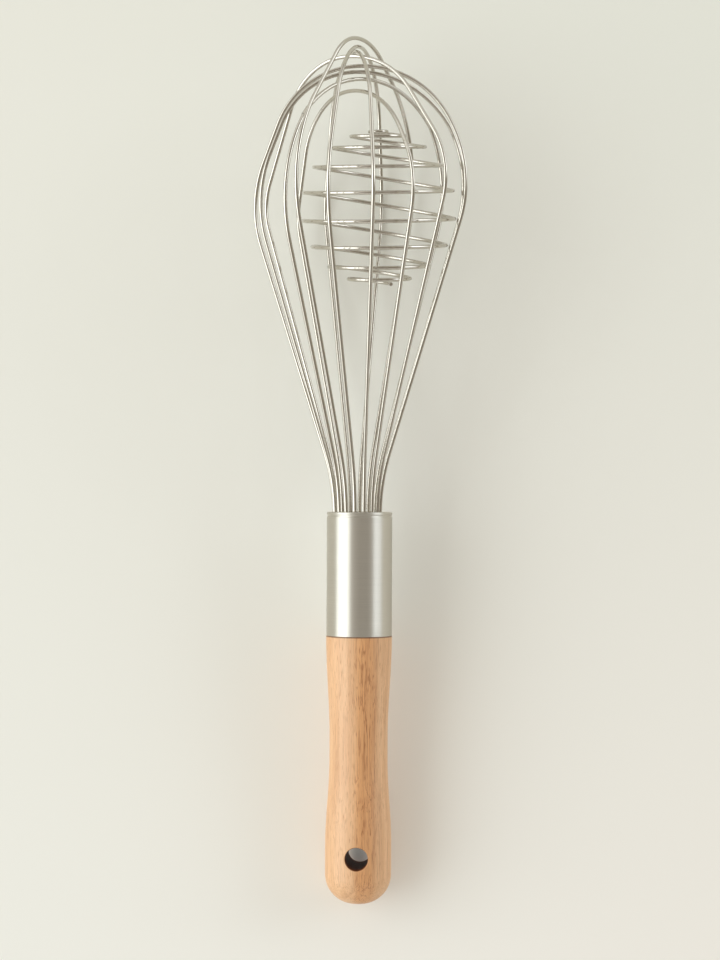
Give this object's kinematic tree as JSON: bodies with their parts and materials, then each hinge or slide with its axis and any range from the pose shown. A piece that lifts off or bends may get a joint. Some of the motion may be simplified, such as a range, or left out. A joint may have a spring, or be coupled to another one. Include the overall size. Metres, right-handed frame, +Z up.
{
  "type": "whisk",
  "caption": "Balloon whisk with a loose spiral wire ball in its cage of wires, a steel ferrule and a turned wooden handle with a hanging hole.",
  "frame": {"origin": "on the floor that the whisk lies on, below the middle of its box", "axes": "+Y along the whisk towards the tip, +X to the right seen from above with the tip up, +Z up"},
  "size_m": [0.0754, 0.304, 0.0734],
  "materials": {
    "beech": "fine sanded, lightly oiled",
    "ferrule_steel": "brushed round the tube",
    "plug_steel": "satin",
    "wire_steel": "polished"
  },
  "bodies": {
    "whisk": {"handle": "beech", "ferrule": "ferrule_steel", "wire_plug": "plug_steel", "wire_loop_1": "wire_steel", "wire_loop_2": "wire_steel", "wire_loop_3": "wire_steel", "wire_loop_4": "wire_steel", "wire_loop_5": "wire_steel", "wire_loop_6": "wire_steel", "wire_loop_7": "wire_steel", "wire_loop_8": "wire_steel"},
    "ball": {"spiral_ball": "wire_steel"}
  },
  "joints": [
    {"name": "ball_slide", "type": "slide", "parent": "whisk", "child": "ball", "axis": [-0.272, -0.96, 0.067], "range_m": [0, 0.021]}
  ]
}
